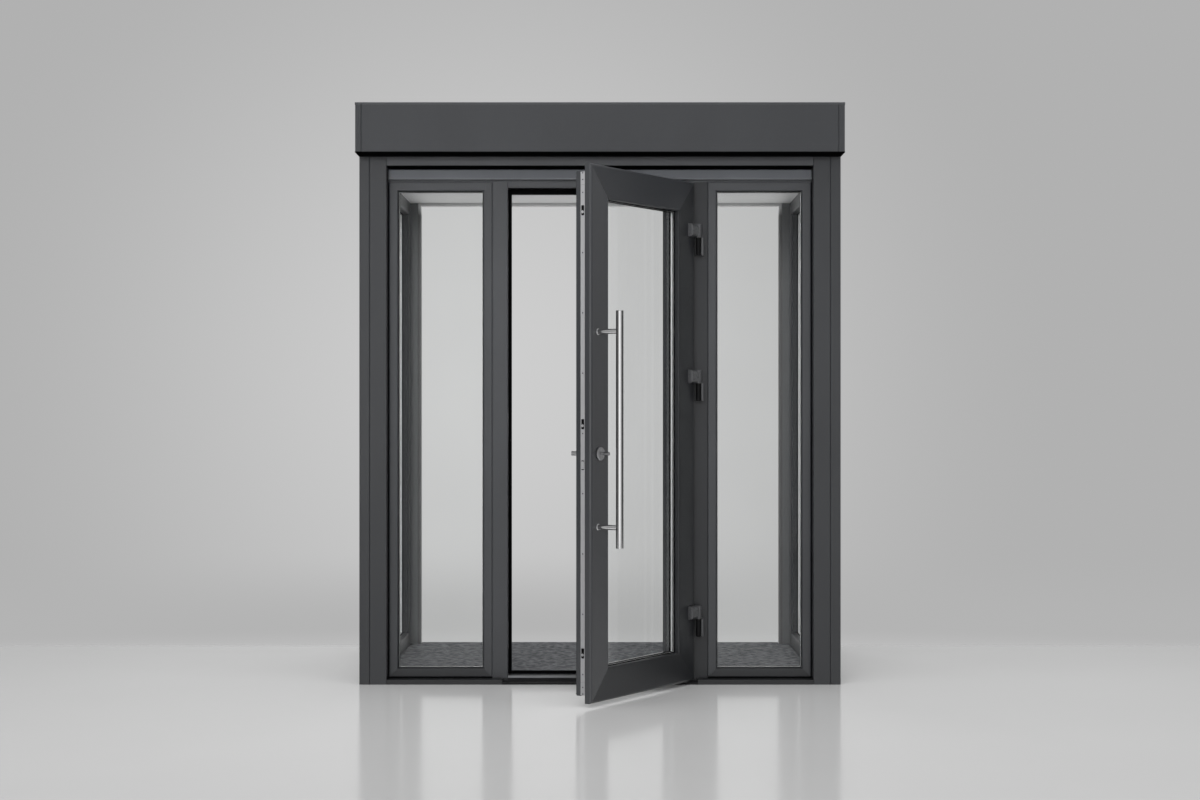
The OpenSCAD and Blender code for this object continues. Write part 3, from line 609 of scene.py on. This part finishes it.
def wall_fixings():
    """Cover caps over the wall anchors on the inner faces of the rear posts"""
    shape = bmesh.new()
    cap = [(0.0075, -0.001), (0.0075, 0.0008), (0.0062, 0.0018), (0.0030, 0.0023)]
    first, apart, count, forward = 0.15, 0.47, 5, 0.018
    for low, high in solids("rear_posts"):
        inward, face = (1, high.x) if low.x < 0 else (-1, low.x)
        for k in range(count):
            turned(shape, (face, middle(low, high, 1) - forward, first + apart * k), (inward, 0, 0), cap)
    piece("wall_anchor_caps", shape, "cabin", "frame_anthracite", "frame_anthracite")


# ---------------------------------------------------------------- roof, seen from above

def roof_details():
    """Membrane seams, the turned-up edge round the roof, and a round outlet grate at the low side"""
    low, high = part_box("roof_panel")
    rear = max(v.co.z for v in NODES["roof_panel"].data.vertices if v.co.y > high.y - 0.001)
    fall = (rear - high.z) / (high.y - low.y)

    def top(y):
        return high.z + fall * (y - low.y)

    seams, edge, grate = bmesh.new(), bmesh.new(), bmesh.new()
    seam_pitch = 0.66
    for x in (-seam_pitch, 0.0, seam_pitch):
        for half, lift in ((0.035, 0.0012), (0.030, 0.0020)):
            outline = ((-half, 0.0), (half, 0.0), (half - 0.002, lift), (0.002 - half, lift))
            close(seams, [[seams.verts.new((x + dx, y, top(y) + dz)) for dx, dz in outline]
                          for y in (low.y + 0.02, high.y - 0.02)])
    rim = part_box("roof_edge_trim")[0].z
    foot, shoulder, lip = 0.045, 0.012, 0.003
    for side in (-1, 1):
        x = side * high.x
        outline = [(x, top(low.y) - 0.03), (x - side * foot, top(high.y)),
                   (x - side * shoulder, top(low.y) + 0.008), (x - side * lip, rim), (x, rim)]
        bar(edge, outline, low.y, high.y, along=1)
    for y, into in ((low.y, 1), (high.y, -1)):
        outline = [(y, top(y) - 0.02), (y + into * foot, top(y)),
                   (y + into * shoulder, top(y) + 0.010), (y + into * lip, rim), (y, rim)]
        bar(edge, outline, low.x, high.x)
    from_side, from_rear = 0.16, 0.14
    at = Vector((high.x - from_side, high.y - from_rear, top(high.y - from_rear)))
    ring = [(0.062, -0.004), (0.062, 0.002), (0.058, 0.004), (0.050, 0.005), (0.046, 0.004)]
    hub = [(0.016, 0.0), (0.016, 0.013), (0.012, 0.016), (0.004, 0.017)]
    turned(grate, at, (0, 0, 1), ring, 48)
    ribs, inside, outside, half_rib = 12, 0.012, 0.048, 0.0022
    for k in range(ribs):
        turn = Matrix.Rotation(math.tau * k / ribs, 2)
        corners = ((inside, -half_rib), (outside, -half_rib), (outside, half_rib), (inside, half_rib))
        outline = [at.xy + turn @ Vector(corner) for corner in corners]
        bar(grate, outline, at.z + 0.003, at.z + 0.014, along=2)
    turned(grate, at, (0, 0, 1), hub, 24)
    piece("roof_seams", seams, "cabin", "roof_skin", "roof_skin")
    piece("roof_upstand", edge, "cabin", "roof_skin", "roof_skin")
    piece("roof_outlet", grate, "cabin", "black_rubber", "base_dark")


# ---------------------------------------------------------------- glazing

def butyl_lines():
    """Dark sealant lines on the spacers of the sidelites and the leaf, along both of their panes; on the
    leaf the lines along its level bars are widened to cover the bars, as painted shadow
    """
    narrow, leaf_shadow_band, proud, soft = 0.0038, 0.0080, 0.0004, 0.0003
    front_wall_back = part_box("sidelite_glass")[1].y
    fixed, leaf = bmesh.new(), bmesh.new()
    for shape, node, place, level_seal_and_shadow in ((fixed, "glass_spacers", Matrix(), narrow),
                                           (leaf, "door_spacer", LEAF, leaf_shadow_band)):
        heights = [(place.inverted() @ v.co).z for v in NODES[node].data.vertices]
        for low, high in solids(node, place):
            if node == "glass_spacers" and low.y > front_wall_back:
                continue
            thick = min(z for z in heights if z > low.z + 0.001) - low.z
            left, right, foot, head = low.x + thick, high.x - thick, low.z + thick, high.z - thick
            for start, end in ((low.y, low.y + narrow), (high.y - narrow, high.y)):
                for x in (left, right):
                    bar(shape, rounded((x - proud, start), (x + proud, end), soft, 2), foot, head, along=2)
            for start, end in ((low.y, low.y + level_seal_and_shadow), (high.y - level_seal_and_shadow, high.y)):
                for z in (foot, head):
                    bar(shape, rounded((start, z - proud), (end, z + proud), soft, 2), left, right)
    piece("butyl_lines", fixed, "cabin", "black_rubber", "black_rubber")
    piece("leaf_butyl_lines", leaf, "door", "black_rubber", "black_rubber", LEAF)


butyl_lines()
lock_details()
rim_gasket()
handle_details()
hinge_details()
threshold_inserts()
black_seals()
wall_fixings()
roof_details()


# ---------------------------------------------------------------- floor and backdrop

def studio_floor():
    """A pale, slightly glossy floor that fades into the backdrop behind the object"""
    made = Finish("studio_floor", Specular_IOR_Level=0.3)
    made.tones(made.spot(0.6, 3.0), (0.745, 0.745, 0.745), (0.775, 0.775, 0.775))
    depth = made.depth()
    made.drive("Roughness", made.span(depth, 0.9, 0.13, -4.6, -3.2))
    fade = made.put("MapRange", {"Value": depth, "From Min": 0.60, "From Max": 0.78},
                    interpolation_type="SMOOTHSTEP")
    made.show(fade, made.put("BsdfTransparent"))
    half = 9
    shape = bmesh.new()
    for x, y in ((-half, -half), (half, -half), (half, half), (-half, half)):
        shape.verts.new((x, y, 0))
    shape.faces.new(shape.verts)
    mesh = bpy.data.meshes.new("studio_floor")
    shape.to_mesh(mesh)
    mesh.materials.append(MATERIALS["studio_floor"])
    floor = bpy.data.objects.new("studio_floor", mesh)
    bpy.context.scene.collection.objects.link(floor)


def studio_backdrop():
    """The backdrop that the camera, reflections and glass show; all other rays meet a plain soft light"""
    world = bpy.data.worlds.new("studio")
    bpy.context.scene.world = world
    world.use_nodes = True
    tree = world.node_tree
    rays = tree.nodes.new("ShaderNodeLightPath").outputs

    def combined(kind, a, b, **settings):
        return put(tree, "Math", {0: a, 1: b}, operation=kind, **settings)

    def step(value, start, end, low=0.0, high=1.0):
        ends = {"From Min": start, "From Max": end, "To Min": low, "To Max": high}
        return put(tree, "MapRange", {"Value": value, **ends}, interpolation_type="SMOOTHSTEP")

    def blend(factor, a, b):
        return put(tree, "Mix", {FACTOR: factor, NUMBER_A: a, NUMBER_B: b}, data_type="FLOAT")

    seen = combined("MAXIMUM", rays["Is Camera Ray"], rays["Is Glossy Ray"])
    seen = combined("MAXIMUM", seen, rays["Is Transmission Ray"])
    look = put(tree, "TexCoord", out="Generated")
    parts = put(tree, "SeparateXYZ", {"Vector": look}, out=None)
    # a bright glow behind the object, and a paler foot of the wall, where the floor has faded
    aside = put(tree, "VectorMath", {0: look, 1: (-0.05, 1.0, 0.02)}, out="Value", operation="DISTANCE")
    glow = step(aside, start=0.0, end=0.28, low=0.61, high=0.44)
    foot = step(parts["Z"], start=-0.108, end=-0.118, low=0.455, high=0.50)
    tone = blend(step(parts["Z"], start=-0.068, end=-0.108), glow, foot)
    # dark flanks beside the camera's side of the room, which only reflections show
    flank = combined("SUBTRACT", rays["Is Glossy Ray"], rays["Is Transmission Ray"], use_clamp=True)
    for part, start, end in (("X", 0.78, 0.90), ("Z", 0.16, 0.07)):
        size = put(tree, "Math", {0: parts[part]}, operation="ABSOLUTE")
        flank = combined("MULTIPLY", flank, step(size, start, end))
    flank = combined("MULTIPLY", flank, step(parts["Y"], start=0.40, end=0.30))
    dark = 0.03
    wall = put(tree, "Background", {"Color": blend(flank, tone, dark), "Strength": 1.0})
    light = put(tree, "Background", {"Color": grey(1.0), "Strength": 0.4})
    shown = put(tree, "MixShader", {0: seen, 1: light, 2: wall})
    tree.links.new(shown, tree.nodes["World Output"].inputs["Surface"])


studio_floor()
studio_backdrop()
